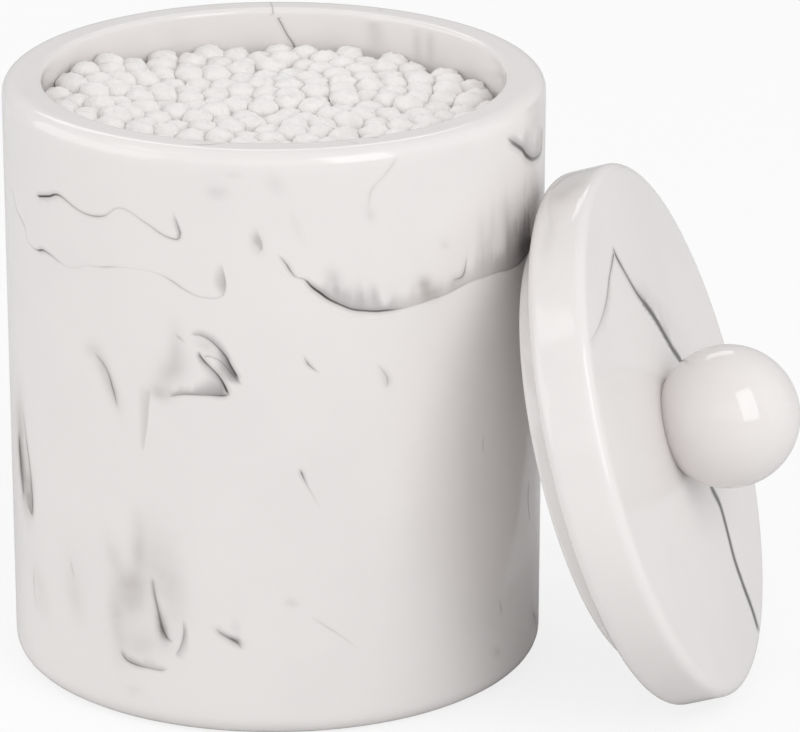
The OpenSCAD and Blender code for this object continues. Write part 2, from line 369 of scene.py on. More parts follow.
LID_SIDE_STROKES: tuple[Stroke, ...] = (
    Stroke(((551, 190, 0.3), (562, 180, 0.35), (580, 171, 0.3), (597, 168, 0.1)), 1.2),
)

LID_SIDE_CLOUDS: tuple[Cloud, ...] = (
    Cloud(569, 190, 22, 9, -30, 0.14),
    Cloud(548, 240, 26, 7, -75, 0.1),
)


@dataclass
class Turned:
    """The axis and reach of a round solid, read from its mesh."""

    axis: Vector
    middle: Vector
    low: float
    high: float
    radius: float

    @classmethod
    def of(cls, node: str, towards: Vector) -> "Turned":
        """Measures a round CAD node.

        Args:
            node: the node's name.
            towards: a point that lies on the positive side of the axis.

        Returns:
            Its axis, middle, reach along the axis and radius.
        """
        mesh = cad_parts[node].data
        mesh.calc_loop_triangles()
        spots = np.array([v.co for v in mesh.vertices], float)
        tris = spots[np.array([t.vertices for t in mesh.loop_triangles])]
        normals = np.cross(tris[:, 1] - tris[:, 0], tris[:, 2] - tris[:, 0])
        areas = np.linalg.norm(normals, axis=1)
        spread = (normals[:, :, None] * normals[:, None, :] / np.maximum(areas, 1e-18)[:, None, None]).sum(0)
        axis = np.linalg.eigh(spread)[1][:, 2]
        signed = np.einsum("ij,ij->i", tris[:, 0], np.cross(tris[:, 1], tris[:, 2]))
        middle = (tris.sum(1) / 4 * signed[:, None]).sum(0) / signed.sum()
        if np.dot(np.array(towards) - middle, axis) < 0:
            axis = -axis
        along = (spots - middle) @ axis
        off = np.linalg.norm((spots - middle) - along[:, None] * axis, axis=1)
        return cls(Vector(axis), Vector(middle), float(along.min()), float(along.max()), float(off.max()))

    def frame(self, base: float) -> Matrix:
        """A frame whose Z is the axis and whose origin is on it.

        Args:
            base: the origin's place along the axis, from the middle.

        Returns:
            The 4x4 matrix, with X level.
        """
        across = Vector((0.0, 0.0, 1.0)).cross(self.axis).normalized()
        turn = Matrix((across, self.axis.cross(across), self.axis)).transposed().to_4x4()
        return Matrix.Translation(self.middle + self.axis * base) @ turn


def clear_selection() -> None:
    """Deselects every object and leaves edit mode."""
    if bpy.context.object and bpy.context.object.mode != "OBJECT":
        bpy.ops.object.mode_set(mode="OBJECT")
    bpy.ops.object.select_all(action="DESELECT")


def make_active(piece: bpy.types.Object) -> None:
    """Selects one object alone and makes it the active one.

    Args:
        piece: the object.
    """
    clear_selection()
    piece.select_set(True)
    bpy.context.view_layer.objects.active = piece


def edit(piece: bpy.types.Object, mode: str = "EDGE") -> None:
    """Opens a piece in edit mode with nothing selected.

    Args:
        piece: the object.
        mode: the kind of element to select.
    """
    make_active(piece)
    bpy.ops.object.mode_set(mode="EDIT")
    bpy.ops.mesh.select_mode(type=mode)
    bpy.ops.mesh.select_all(action="DESELECT")


def pick(piece: bpy.types.Object, kind: str, wanted: Test) -> None:
    """Selects the edges or faces that pass a test, and no others.

    Args:
        piece: the object in edit mode.
        kind: EDGE or FACE.
        wanted: the test of an edge's two ends, or of a face's middle and normal.
    """
    bpy.ops.mesh.select_mode(type=kind)
    bpy.ops.mesh.select_all(action="DESELECT")
    shape = bmesh.from_edit_mesh(piece.data)
    if kind == "EDGE":
        found = [(edge, edge.verts[0].co, edge.verts[1].co) for edge in shape.edges]
    else:
        found = [(face, face.calc_center_median(), face.normal) for face in shape.faces]
    for element, first, second in found:
        if wanted(first, second):
            element.select_set(True)
    bmesh.update_edit_mesh(piece.data)


def is_ring(radius: float, height: float) -> Test:
    """A test for the edges of a level ring.

    Args:
        radius: the ring's radius.
        height: its height.

    Returns:
        The test.
    """
    def on(spot: Vector) -> bool:
        """Whether a point lies on the ring."""
        return max(abs(math.hypot(spot.x, spot.y) - radius), abs(spot.z - height)) < RING_SLACK
    return lambda a, b: on(a) and on(b)


def is_upright(radius: float, low: float, high: float, slack: float = RING_SLACK) -> Test:
    """A test for the upright edges of a round wall.

    Args:
        radius: the wall's radius.
        low: the lowest height that counts.
        high: the highest height that counts.
        slack: how far the radius may be off.

    Returns:
        The test.
    """
    def test(a: Vector, b: Vector) -> bool:
        """Whether an edge runs up the wall between the two heights."""
        bottom, top = sorted((a.z, b.z))
        near = all(abs(math.hypot(p.x, p.y) - radius) < slack for p in (a, b))
        return near and bottom > low and top < high and top - bottom > 0.5 * MM
    return test


def open_disc(sides: int, radius: float, depth: float) -> bpy.types.Object:
    """Adds an upright cylinder that stands at height 0, and opens it in edit mode.

    Args:
        sides: how many sides it has.
        radius: its radius.
        depth: its height.

    Returns:
        The object.
    """
    clear_selection()
    bpy.ops.mesh.primitive_cylinder_add(vertices=sides, radius=radius, depth=depth, end_fill_type="NGON",
                                        location=(0, 0, depth / 2))
    piece = bpy.context.object
    bpy.ops.object.transform_apply(location=True, rotation=True, scale=True)
    edit(piece, "FACE")
    return piece


def round_rings(piece: bpy.types.Object, rings: Iterable[tuple[float, float, float, int]]) -> None:
    """Rounds level rings of edges.

    Args:
        piece: the object in edit mode.
        rings: the radius, height, rounding and rows of each.
    """
    for radius, height, bend, rows in rings:
        pick(piece, "EDGE", is_ring(radius, height))
        bpy.ops.mesh.bevel(offset=bend, segments=rows, profile=0.5, affect="EDGES")


def finish_shape(piece: bpy.types.Object, name: str, angle_deg: float = 32.0) -> None:
    """Names a piece, smooths it and puts its place into its mesh.

    Args:
        piece: the object.
        name: its name.
        angle_deg: edges sharper than this stay sharp.
    """
    make_active(piece)
    piece.name = name
    piece.data.name = name
    bpy.ops.object.transform_apply(location=True, rotation=True, scale=True)
    bpy.ops.object.shade_smooth_by_angle(angle=math.radians(angle_deg))


def declare(piece: bpy.types.Object, node: str) -> None:
    """Ties a piece to the frame: it rides the one body and stands for a node.

    Args:
        piece: the object.
        node: the CAD node that it replaces.
    """
    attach(piece, ROOT)
    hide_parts(node)
    log.info("%s: %d faces", piece.name, len(piece.data.polygons))


def dress(piece: bpy.types.Object, material: bpy.types.Material) -> None:
    """Gives a piece its one material.

    Args:
        piece: the object.
        material: the material.
    """
    piece.data.materials.clear()
    piece.data.materials.append(material)


def smooth_path(marks: Sequence[Sequence[float]], steps: int) -> np.ndarray:
    """A smooth curve through marks, as points and the values that go with them.

    Args:
        marks: the marks, each a row of numbers.
        steps: how many points between two marks.

    Returns:
        The rows along the curve.
    """
    rows = np.array(marks, float)
    rows = np.vstack([2 * rows[0] - rows[1], rows, 2 * rows[-1] - rows[-2]])
    out = []
    for i in range(1, len(rows) - 2):
        a, b, c, d = rows[i - 1], rows[i], rows[i + 1], rows[i + 2]
        for t in np.linspace(0.0, 1.0, steps, endpoint=False):
            out.append(0.5 * (2 * b + (c - a) * t + (2 * a - 5 * b + 4 * c - d) * t ** 2
                              + (3 * b - a - 3 * c + d) * t ** 3))
    out.append(rows[-2])
    return np.array(out)


@dataclass
class Chart:
    """A flat map of one surface: from its points to map places, and from the photograph to map places."""

    zone: Zone
    lay_points: Callable[[np.ndarray], np.ndarray]
    lay_photo: Callable[[float, float], Point]
    holds: Callable[[np.ndarray], np.ndarray]
    turn_length: float = 0.0

    def lay_rows(self, rows: np.ndarray) -> np.ndarray:
        """Lays points of the photograph on the surface.

        Args:
            rows: rows that start with pixels from the left and from the top.

        Returns:
            The map places.
        """
        return np.array([self.lay_photo(x, y) for x, y in rows[:, :2]])

    def trace(self, stroke: Stroke) -> Trace:
        """Lays a stroke on the surface.

        Args:
            stroke: the stroke.

        Returns:
            Its trace.
        """
        rows = smooth_path(stroke.marks, 10)
        places = self.lay_rows(rows)
        ink = np.clip(rows[:, 2], 0.0, 1.0)
        return Trace(places, ink, (THIN_VEIN + THICKER_VEIN * ink) * stroke.breadth)

    def shade(self, veil: Veil) -> Trace:
        """Lays a veil on the surface.

        Args:
            veil: the veil.

        Returns:
            Its trace, with the veil's reach as the width.
        """
        rows = smooth_path(veil.marks, 8)
        places, above = self.lay_rows(rows), self.lay_rows(rows - (0.0, 1.0, 0.0, 0.0))
        scale = np.linalg.norm(above - places, axis=1) / MM
        return Trace(places, np.clip(rows[:, 2], 0.0, 1.0), np.maximum(rows[:, 3], 2.0) * scale)

    def patch(self, cloud: Cloud) -> Patch:
        """Lays a cloud on the surface.

        Args:
            cloud: the cloud.

        Returns:
            Its patch.
        """
        turn = math.radians(cloud.turn_deg)
        along = np.array([math.cos(turn), math.sin(turn)])
        across = np.array([-along[1], along[0]])
        spot = np.array([cloud.x, cloud.y])
        step = 0.5
        middle, ahead, aside = self.lay_rows(np.array([spot, spot + along * step, spot + across * step]))
        long_axis = (ahead - middle) / step * cloud.half_length
        short_axis = (aside - middle) / step * cloud.half_width
        return Patch(middle, long_axis, short_axis, cloud.strength, cloud.streaked)

    def offsets(self, places: np.ndarray, middle: np.ndarray) -> np.ndarray:
        """Places seen from a middle, the short way round a wall.

        Args:
            places: map places.
            middle: the map place to measure from.

        Returns:
            The offsets.
        """
        away = places - middle
        if self.turn_length:
            away[:, 0] = (away[:, 0] + self.turn_length / 2) % self.turn_length - self.turn_length / 2
        return away


@dataclass
class Wash:
    """All the ink on one surface."""

    chart: Chart
    veins: list[Trace]
    veils: list[Trace]
    patches: list[Patch]


@dataclass
class InkPainter:
    """Writes ink onto a mesh: signed distances for veins and veils, and soft values for the clouds."""

    reach: float = 1.6 * MM
    far: float = 30.0 * MM
    taper: float = 0.5 * MM
    idle_width: float = 0.2
    veil_span: float = 1.3
    window_share: float = 0.5
    cloud_fall: float = 1.3

    def paint(self, piece: bpy.types.Object, work: Sequence[Wash]) -> None:
        """Writes the attributes that the inked resin reads.

        Args:
            piece: the object.
            work: the ink on each of its surfaces.
        """
        mesh = piece.data
        spots = np.empty(len(mesh.vertices) * 3, np.float32)
        mesh.vertices.foreach_get("co", spots)
        spots = spots.reshape(-1, 3).astype(float)
        veins, veils = (np.zeros((count, len(spots), 3)) for count in (VEIN_LAYERS, VEIL_LAYERS))
        for rows in (veins, veils):
            rows[:, :, 0] = self.far / MM
            rows[:, :, 2] = self.idle_width
        soft, streaked = np.zeros(len(spots)), np.zeros(len(spots))
        for wash in work:
            inside = np.nonzero(wash.chart.holds(spots))[0]
            places = wash.chart.lay_points(spots[inside])
            for rows, traces, shaded in ((veins, wash.veins, False), (veils, wash.veils, True)):
                self.share_layers(wash.chart, traces, shaded, len(rows))
                for trace in traces:
                    self.draw(rows[trace.layer], inside, places, wash.chart, trace, shaded)
            for patch in wash.patches:
                self.blot(streaked if patch.streaked else soft, inside, places, wash.chart, patch)
            log.info("ink on %s: %d veins, %d veils, %d patches", wash.chart.zone.value, len(wash.veins),
                     len(wash.veils), len(wash.patches))
        for kind, rows in (("vein", veins), ("veil", veils)):
            for number, values in enumerate(rows):
                self.store(mesh, f"ink_{kind}_{number}", "FLOAT_VECTOR", values)
        self.store(mesh, "ink_and_shade_soft", "FLOAT", soft)
        self.store(mesh, "ink_streaked", "FLOAT", streaked)

    def span(self, trace: Trace, shaded: bool) -> float:
        """How far from its line a trace is written.

        Args:
            trace: the trace.
            shaded: whether it is a veil.

        Returns:
            The distance in metres.
        """
        return self.reach + (float(trace.width.max()) * self.veil_span * MM if shaded else 0.0)

    def share_layers(self, chart: Chart, traces: list[Trace], shaded: bool, layers: int) -> None:
        """Gives traces that come close to each other layers of their own.

        Args:
            chart: the chart that they lie on.
            traces: the traces.
            shaded: whether they are veils.
            layers: how many layers there are.
        """
        for number, trace in enumerate(traces):
            taken = set()
            for other in traces[:number]:
                gaps = np.concatenate([chart.offsets(other.path.copy(), spot) for spot in trace.path[::3]])
                apart = np.hypot(gaps[:, 0], gaps[:, 1]).min()
                if apart < self.span(trace, shaded) + self.span(other, shaded):
                    taken.add(other.layer)
            free = [layer for layer in range(layers) if layer not in taken]
            trace.layer = free[0] if free else number % layers

    def draw(self, line: np.ndarray, inside: np.ndarray, places: np.ndarray, chart: Chart, trace: Trace,
             shaded: bool) -> None:
        """Writes one trace: signed distance in mm, darkness and width in mm.

        Args:
            line: the rows to write to.
            inside: which vertices lie on the chart.
            places: their map places.
            chart: the chart.
            trace: the trace.
            shaded: whether it is a veil, which only its left side shows.
        """
        span = self.span(trace, shaded)
        middle = trace.path.mean(0)
        away = chart.offsets(places.copy(), middle)
        path = chart.offsets(trace.path.copy(), middle)
        low, high = path.min(0) - span, path.max(0) + span
        near = np.nonzero(((away > low) & (away < high)).all(1))[0]
        if not len(near):
            return
        steps = np.linalg.norm(np.diff(path, axis=0), axis=1)
        heading = np.gradient(path, axis=0)
        heading /= np.maximum(np.linalg.norm(heading, axis=1), 1e-12)[:, None]
        run = np.concatenate([[0.0], np.cumsum(steps)])
        ends = np.clip(np.minimum(run, run[-1] - run) / self.taper, 0.0, 1.0)
        gaps = away[near][:, None, :] - path[None]
        apart = np.hypot(gaps[..., 0], gaps[..., 1])
        nearest = apart.argmin(1)
        rows = np.arange(len(near))
        gap, way, distance = gaps[rows, nearest], heading[nearest], apart[rows, nearest]
        side = way[:, 0] * gap[:, 1] - way[:, 1] * gap[:, 0]
        side = np.where(shaded & (side > 0), distance, side)
        edge = self.window_share * self.reach
        window = np.clip((span - distance) / edge, 0.0, 1.0)
        if shaded:
            window *= np.clip((self.reach + side) / edge, 0.0, 1.0)
        strength = trace.ink[nearest] * ends[nearest] * window
        targets = inside[near]
        chosen = (strength > 0.0) | ((distance < span) & (line[targets, 1] <= 0.0))
        line[targets[chosen], 0] = side[chosen] / MM
        line[targets[chosen], 1] = strength[chosen]
        line[targets[chosen], 2] = trace.width[nearest[chosen]]

    def blot(self, values: np.ndarray, inside: np.ndarray, places: np.ndarray, chart: Chart,
             patch: Patch) -> None:
        """Adds one soft patch.

        Args:
            values: the values to add to.
            inside: which vertices lie on the chart.
            places: their map places.
            chart: the chart.
            patch: the patch.
        """
        away = chart.offsets(places.copy(), patch.middle)
        basis = np.linalg.inv(np.array([patch.long_axis, patch.short_axis]))
        shares = away @ basis
        values[inside] += patch.strength * np.exp(-self.cloud_fall * (shares ** 2).sum(1))

    def store(self, mesh: bpy.types.Mesh, name: str, kind: str, values: np.ndarray) -> None:
        """Stores one attribute on the mesh's points.

        Args:
            mesh: the mesh.
            name: the attribute's name.
            kind: its data type.
            values: its values.
        """
        attribute = mesh.attributes.new(name, kind, "POINT")
        key = "vector" if kind == "FLOAT_VECTOR" else "value"
        attribute.data.foreach_set(key, values.astype(np.float32).ravel())


class Shader:
    """A material's node tree, with short calls for the nodes that the finishes use."""

    def __init__(self, name: str) -> None:
        """Starts a material with one surface shader.

        Args:
            name: the material's name.
        """
        self.material = bpy.data.materials.new(name)
        self.material.use_nodes = True
        self.tree = self.material.node_tree
        self.tree.nodes.clear()
        self.output = self.tree.nodes.new("ShaderNodeOutputMaterial")
        self.surface = self.tree.nodes.new("ShaderNodeBsdfPrincipled")
        self.tree.links.new(self.surface.outputs[0], self.output.inputs["Surface"])
        self.spot = self.tree.nodes.new("ShaderNodeTexCoord").outputs["Object"]

    def put(self, target: bpy.types.NodeSocket, value: object) -> None:
        """Links a socket to another or sets its value.

        Args:
            target: the input socket.
            value: an output socket or a plain value.
        """
        if isinstance(value, bpy.types.NodeSocket):
            self.tree.links.new(value, target)
        else:
            target.default_value = value

    def node(self, kind: str, inputs: dict[str | int, object], result: str | int = 0, **settings: object
             ) -> bpy.types.NodeSocket:
        """Adds a node.

        Args:
            kind: its type, without the word ShaderNode.
            inputs: what goes into its sockets.
            result: which of its outputs is wanted.
            settings: its own settings.

        Returns:
            The output.
        """
        node = self.tree.nodes.new("ShaderNode" + kind)
        for key, value in settings.items():
            setattr(node, key, value)
        for key, value in inputs.items():
            self.put(node.inputs[key], value)
        return node.outputs[result]

    def math(self, operation: str, *values: object) -> bpy.types.NodeSocket:
        """A math node.

        Args:
            operation: the operation.
            values: its inputs.

        Returns:
            Its output.
        """
        return self.node("Math", dict(enumerate(values)), operation=operation)

    def scaled(self, size: tuple[float, float, float]) -> bpy.types.NodeSocket:
        """The object's own place times a size, axis by axis.

        Args:
            size: the three factors.

        Returns:
            The scaled place.
        """
        return self.node("Mapping", {"Vector": self.spot, "Scale": size})

    def noise(self, place: object, scale: float, detail: float = 2.0, rough: float = 0.5
              ) -> bpy.types.NodeSocket:
        """A noise texture.

        Args:
            place: where it is read.
            scale: its scale.
            detail: its detail.
            rough: its roughness.

        Returns:
            Its value, about 0.5 on average.
        """
        return self.node("TexNoise", {"Vector": place, "Scale": scale, "Detail": detail, "Roughness": rough},
                         "Fac")

    def ramp(self, value: object, low: float, high: float, start: float = 0.0, end: float = 1.0
             ) -> bpy.types.NodeSocket:
        """A smooth step from one value to another.

        Args:
            value: what is read.
            low: where the step starts.
            high: where it ends.
            start: the result at low.
            end: the result at high.

        Returns:
            The stepped value.
        """
        return self.node("MapRange", {"Value": value, "From Min": low, "From Max": high, "To Min": start,
                                      "To Max": end}, "Result", interpolation_type="SMOOTHSTEP")

    def mixed(self, share: object, first: object, second: object) -> bpy.types.NodeSocket:
        """A mix of two colours.

        Args:
            share: how much of the second.
            first: the first colour.
            second: the second colour.

        Returns:
            The mixed colour.
        """
        return self.node("Mix", {0: share, 6: first, 7: second}, 2, data_type="RGBA")

    def attribute(self, name: str, result: str = "Fac") -> bpy.types.NodeSocket:
        """Reads an attribute of the mesh.

        Args:
            name: the attribute's name.
            result: which output is wanted.

        Returns:
            The output.
        """
        return self.node("Attribute", {}, result, attribute_name=name)

    def bump(self, height: object, strength: float, distance: float) -> None:
        """Gives the surface a bump.

        Args:
            height: the height field.
            strength: its strength.
            distance: its depth in metres.
        """
        self.set(Normal=self.node("Bump", {"Strength": strength, "Distance": distance, "Height": height}))

    def set(self, **values: object) -> None:
        """Sets or links the surface shader's own sockets.

        Args:
            values: socket names, with _ for a space.
        """
        for key, value in values.items():
            self.put(self.surface.inputs[key.replace("_", " ")], value)


@dataclass(frozen=True)
class CastResin:
    """Polished white cast resin."""

    name: str = "white_resin"
    body: Colour = (0.815, 0.785, 0.775, 1.0)
    cloudy: Colour = (0.785, 0.76, 0.752, 1.0)
    roughness: float = 0.07
    depth_share: float = 0.12
    depth: float = 6.0 * MM
    drift_scale: float = 38.0
    polish_scale: float = 55.0
    polish_spread: float = 0.03
    wave_scale: float = 60.0
    wave_strength: float = 0.04
    wave_depth: float = 0.3 * MM

    def start(self) -> tuple[Shader, bpy.types.NodeSocket]:
        """Starts the material.

        Returns:
            The shader and the colour of the bare resin.
        """
        shader = Shader(self.name)
        drift = shader.noise(shader.spot, self.drift_scale, 3.0, 0.5)
        bare = shader.mixed(shader.ramp(drift, 0.35, 0.75), self.body, self.cloudy)
        shader.set(Subsurface_Weight=self.depth_share, Subsurface_Radius=(self.depth,) * 3,
                   Subsurface_Scale=1.0, Specular_IOR_Level=0.5)
        polish = shader.noise(shader.spot, self.polish_scale, 2.0, 0.5)
        dullest = self.roughness + self.polish_spread
        shader.set(Roughness=shader.ramp(polish, 0.3, 0.7, self.roughness, dullest))
        shader.bump(shader.noise(shader.spot, self.wave_scale, 1.0, 0.4), self.wave_strength, self.wave_depth)
        return shader, bare

    def build(self) -> bpy.types.Material:
        """Builds the plain resin.

        Returns:
            The material.
        """
        shader, bare = self.start()
        shader.set(Base_Color=bare)
        return shader.material


@dataclass(frozen=True)
class InkedResin(CastResin):
    """Cast resin with veins and clouds of ink that the mesh's attributes place; beside the lid a veil and
    some clouds also carry painted shade.
    """

    name: str = "marbled_resin"
    ink: Colour = (0.04, 0.033, 0.031, 1.0)
    cool_wash: Colour = (0.188, 0.17, 0.172, 1.0)
    warm_wash: Colour = (0.212, 0.18, 0.15, 1.0)
    halo: float = 0.3
    halo_widths: float = 6.0
    core_from: float = 0.3
    core_to: float = 1.9
    waver_mm: float = 0.16
    crisp_from_mm: float = -0.15
    crisp_to_mm: float = 0.2
    veil_curve: float = 1.25
    most_wash: float = 0.92
    streak_share: float = 0.7
    ripple_scale: float = 420.0
    smoke_scale: float = 170.0
    warmth_scale: float = 45.0
    streak_scale: tuple[float, float, float] = (260.0, 260.0, 45.0)

    def build(self) -> bpy.types.Material:
        """Builds the inked resin.

        Returns:
            The material.
        """
        shader, bare = self.start()
        ripple = shader.math("SUBTRACT", shader.noise(shader.spot, self.ripple_scale, 2.0), 0.5)
        waver = shader.math("MULTIPLY", ripple, self.waver_mm)
        streaks = shader.noise(shader.scaled(self.streak_scale), 1.0, 2.0, 0.5)
        smoke = shader.noise(shader.spot, self.smoke_scale, 3.0, 0.5)
        uneven = shader.math("ADD", shader.math("MULTIPLY", streaks, self.streak_share),
                             shader.math("MULTIPLY", smoke, 1.0 - self.streak_share))
        tall = shader.ramp(uneven, 0.36, 0.64, 0.45, 1.35)
        veins: object = 0.0
        veils: object = 0.0
        for number in range(VEIN_LAYERS):
            off, ink, width = self.parts(shader, f"ink_vein_{number}")
            share = shader.math("DIVIDE", shader.math("ABSOLUTE", shader.math("ADD", off, waver)), width)
            core = shader.ramp(share, self.core_from, self.core_to, 1.0, 0.0)
            vein = shader.math("MAXIMUM", core, shader.ramp(share, 0.0, self.halo_widths, self.halo, 0.0))
            veins = shader.math("MAXIMUM", veins, shader.math("MULTIPLY", vein, ink))
        for number in range(VEIL_LAYERS):
            off, ink, width = self.parts(shader, f"ink_veil_{number}")
            crisp = shader.ramp(shader.math("ADD", off, waver), self.crisp_from_mm, self.crisp_to_mm)
            share = shader.math("DIVIDE", off, shader.math("MULTIPLY", width, tall))
            fade = shader.math("POWER", shader.ramp(share, 0.0, 1.0, 1.0, 0.0), self.veil_curve)
            veil = shader.math("MULTIPLY", shader.math("MULTIPLY", crisp, fade), ink)
            veils = shader.math("MAXIMUM", veils, veil)
        soft = shader.math("MULTIPLY", shader.attribute("ink_and_shade_soft"), shader.ramp(smoke, 0.3, 0.7, 0.8, 1.5))
        drawn = shader.math("MULTIPLY", shader.attribute("ink_streaked"),
                            shader.ramp(uneven, 0.36, 0.64, 0.5, 1.3))
        clouds = shader.math("ADD", veils, shader.math("ADD", soft, drawn))
        warmth = shader.ramp(shader.noise(shader.spot, self.warmth_scale, 1.0), 0.4, 0.6)
        wash = shader.mixed(warmth, self.cool_wash, self.warm_wash)
        colour = shader.mixed(shader.math("MINIMUM", clouds, self.most_wash), bare, wash)
        shader.set(Base_Color=shader.mixed(veins, colour, self.ink))
        return shader.material

    @staticmethod
    def parts(shader: Shader, name: str) -> tuple[bpy.types.NodeSocket, ...]:
        """Reads an attribute of three numbers.

        Args:
            shader: the shader.
            name: the attribute's name.

        Returns:
            The signed distance, the darkness and the width.
        """
        node = shader.tree.nodes.new("ShaderNodeSeparateXYZ")
        shader.put(node.inputs[0], shader.attribute(name, "Vector"))
        return tuple(node.outputs)


@dataclass(frozen=True)
class CottonWool:
    """Bleached cotton, wound and pressed."""

    name: str = "cotton"
    body: Colour = (0.865, 0.84, 0.828, 1.0)
    shaded: Colour = (0.80, 0.775, 0.762, 1.0)
    fibre_scale: float = 2600.0
    wad_scale: float = 520.0
    nap: float = 0.35
    depth_share: float = 0.35
    depth: float = 1.5 * MM
    bump_depth: float = 0.25 * MM

    def build(self) -> bpy.types.Material:
        """Builds the cotton.

        Returns:
            The material.
        """
        shader = Shader(self.name)
        fibres = shader.noise(shader.scaled((1.0, 1.0, 0.35)), self.fibre_scale, 4.0, 0.65)
        wad = shader.noise(shader.spot, self.wad_scale, 3.0, 0.55)
        tone = shader.math("ADD", shader.math("MULTIPLY", fibres, 0.5), shader.math("MULTIPLY", wad, 0.5))
        shader.set(Base_Color=shader.mixed(shader.ramp(tone, 0.35, 0.62), self.shaded, self.body),
                   Roughness=1.0, Specular_IOR_Level=0.1, Sheen_Weight=self.nap, Sheen_Roughness=0.6,
                   Subsurface_Weight=self.depth_share, Subsurface_Radius=(self.depth,) * 3,
                   Subsurface_Scale=1.0)
        shader.bump(tone, 0.5, self.bump_depth)
        return shader.material


@dataclass(frozen=True)
class RolledPaper:
    """White paper, rolled into a stick."""

    name: str = "paper_stick"
    body: Colour = (0.84, 0.84, 0.83, 1.0)
    seam: Colour = (0.72, 0.72, 0.71, 1.0)
    pulp_scale: float = 1500.0

    def build(self) -> bpy.types.Material:
        """Builds the paper.

        Returns:
            The material.
        """
        shader = Shader(self.name)
        pulp = shader.noise(shader.scaled((1.0, 1.0, 0.2)), self.pulp_scale, 3.0, 0.6)
        shader.set(Base_Color=shader.mixed(shader.ramp(pulp, 0.4, 0.7), self.body, self.seam), Roughness=0.85,
                   Specular_IOR_Level=0.25)
        shader.bump(pulp, 0.3, 0.1 * MM)
        return shader.material


@dataclass
class Sight:
    """Finds where points of the photograph lie on round and level surfaces about a frame's Z axis."""

    photo: Photo
    place: Matrix = field(default_factory=lambda: Matrix.Identity(4))

    def ray(self, x: float, y: float) -> tuple[Vector, Vector]:
        """A line of sight in the frame.

        Args:
            x: pixels from the left.
            y: pixels from the top.

        Returns:
            Its start and its direction.
        """
        start, way = self.photo.ray(x, y)
        back = self.place.inverted()
        return back @ start, back.to_3x3() @ way

    def on_level(self, x: float, y: float, height: float) -> Point:
        """Where a point lies on a level.

        Args:
            x: pixels from the left.
            y: pixels from the top.
            height: the level.

        Returns:
            The place on the level.
        """
        start, way = self.ray(x, y)
        spot = start + way * ((height - start.z) / way.z)
        return spot.x, spot.y

    def on_wall(self, x: float, y: float, radius: float, near: bool = True) -> Vector:
        """Where a point lies on a round wall, or the line of sight's closest point where it misses.

        Args:
            x: pixels from the left.
            y: pixels from the top.
            radius: the wall's radius.
            near: whether the wall's near side is meant.

        Returns:
            The place in the frame.
        """
        start, way = self.ray(x, y)
        a = way.x ** 2 + way.y ** 2
        b = start.x * way.x + start.y * way.y
        c = start.x ** 2 + start.y ** 2 - radius ** 2
        root = math.sqrt(max(b * b - a * c, 0.0))
        return start + way * ((-b - root if near else -b + root) / a)


